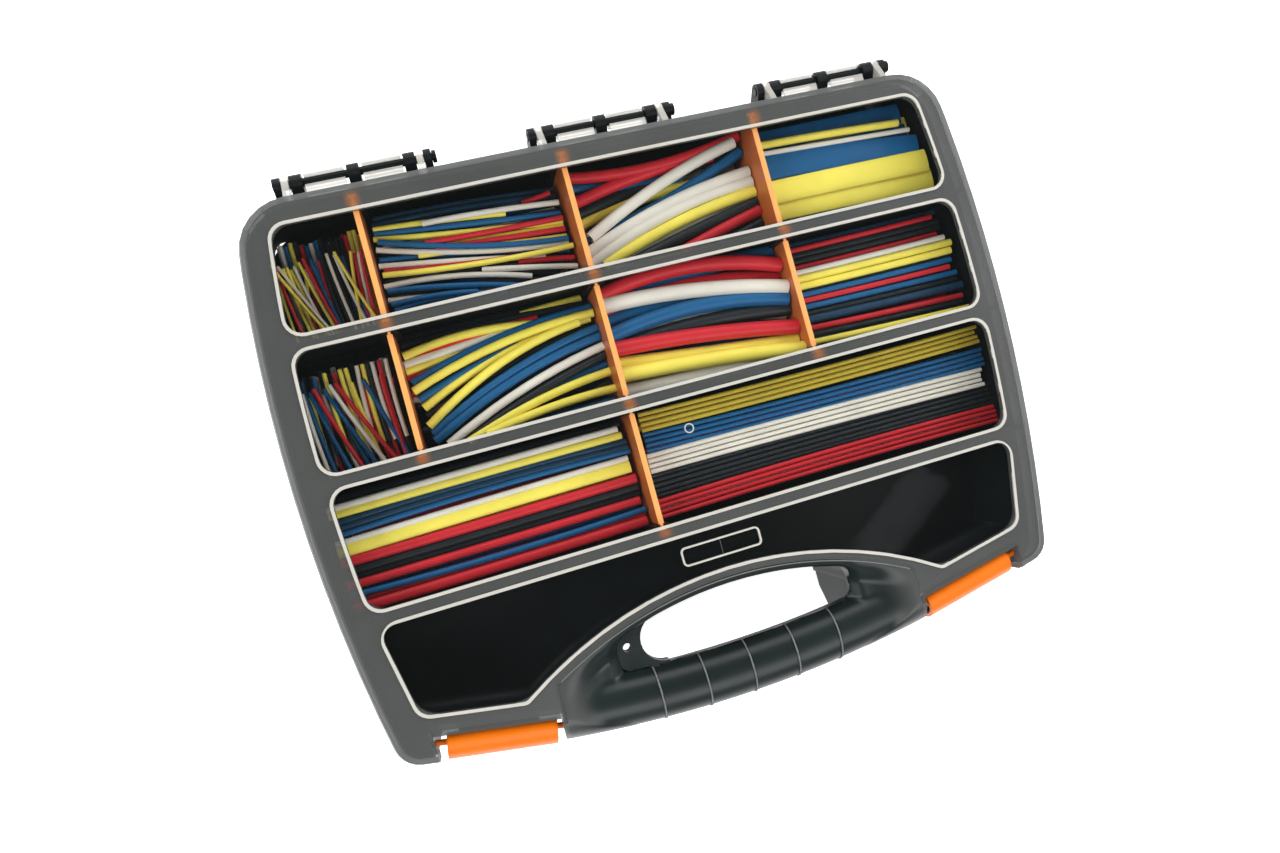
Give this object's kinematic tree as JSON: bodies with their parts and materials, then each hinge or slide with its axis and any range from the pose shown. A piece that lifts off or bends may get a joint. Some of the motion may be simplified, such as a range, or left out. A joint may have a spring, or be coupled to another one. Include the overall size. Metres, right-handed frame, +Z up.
{
  "type": "heat-shrink tubing assortment case",
  "caption": "Flat carrying case with a windowed smoky lid, orange snap latches and removable dividers, stocked with loose lengths of heat-shrink tubing.",
  "frame": {"origin": "centre of the bounding box on the underside, with the closed case lying flat", "axes": "+X along the hinge line to the right, +Y from the carrying handle to the hinges, +Z up through the lid"},
  "size_m": [0.394, 0.3188, 0.0608],
  "materials": {
    "smoky_lid": "smoky translucent moulded plastic, clear and glossy in the windows, finely frosted on the frame round them",
    "black_shell": "black injection-moulded plastic, satin",
    "divider_orange": "thin orange plastic that glows at its edges",
    "latch_orange": "bright orange moulded plastic, satin gloss",
    "tubing": "soft polyolefin tubing in yellow, red, blue, black and white"
  },
  "bodies": {
    "base": {"base_tray": "black_shell", "divider_row1_a": "divider_orange", "divider_row1_b": "divider_orange", "divider_row1_c": "divider_orange", "divider_row2_a": "divider_orange", "divider_row2_b": "divider_orange", "divider_row2_c": "divider_orange", "divider_row3_a": "divider_orange", "hinge_pin_left": "black_shell", "hinge_pin_centre": "black_shell", "hinge_pin_right": "black_shell", "tubing_row1_a": "tubing", "tubing_row1_b": "tubing", "tubing_row1_c": "tubing", "tubing_row1_d": "tubing", "tubing_row2_a": "tubing", "tubing_row2_b": "tubing", "tubing_row2_c": "tubing", "tubing_row2_d": "tubing", "tubing_row3_a": "tubing", "tubing_row3_b": "tubing"},
    "lid": {"lid": "smoky_lid"},
    "latch_left": {"latch_left": "latch_orange"},
    "latch_right": {"latch_right": "latch_orange"}
  },
  "joints": [
    {"name": "lid_hinge", "type": "hinge", "parent": "base", "child": "lid", "pos_m": [0, 0.155, 0.046], "axis": [-1, 0, 0], "range_deg": [0, 175]},
    {"name": "latch_left_pivot", "type": "hinge", "parent": "lid", "child": "latch_left", "pos_m": [-0.1047, -0.1415, 0.053], "axis": [-0.9836, 0.1805, 0], "range_deg": [0, 90]},
    {"name": "latch_right_pivot", "type": "hinge", "parent": "lid", "child": "latch_right", "pos_m": [0.1047, -0.1415, 0.053], "axis": [-0.9836, -0.1805, 0], "range_deg": [0, 90]}
  ]
}
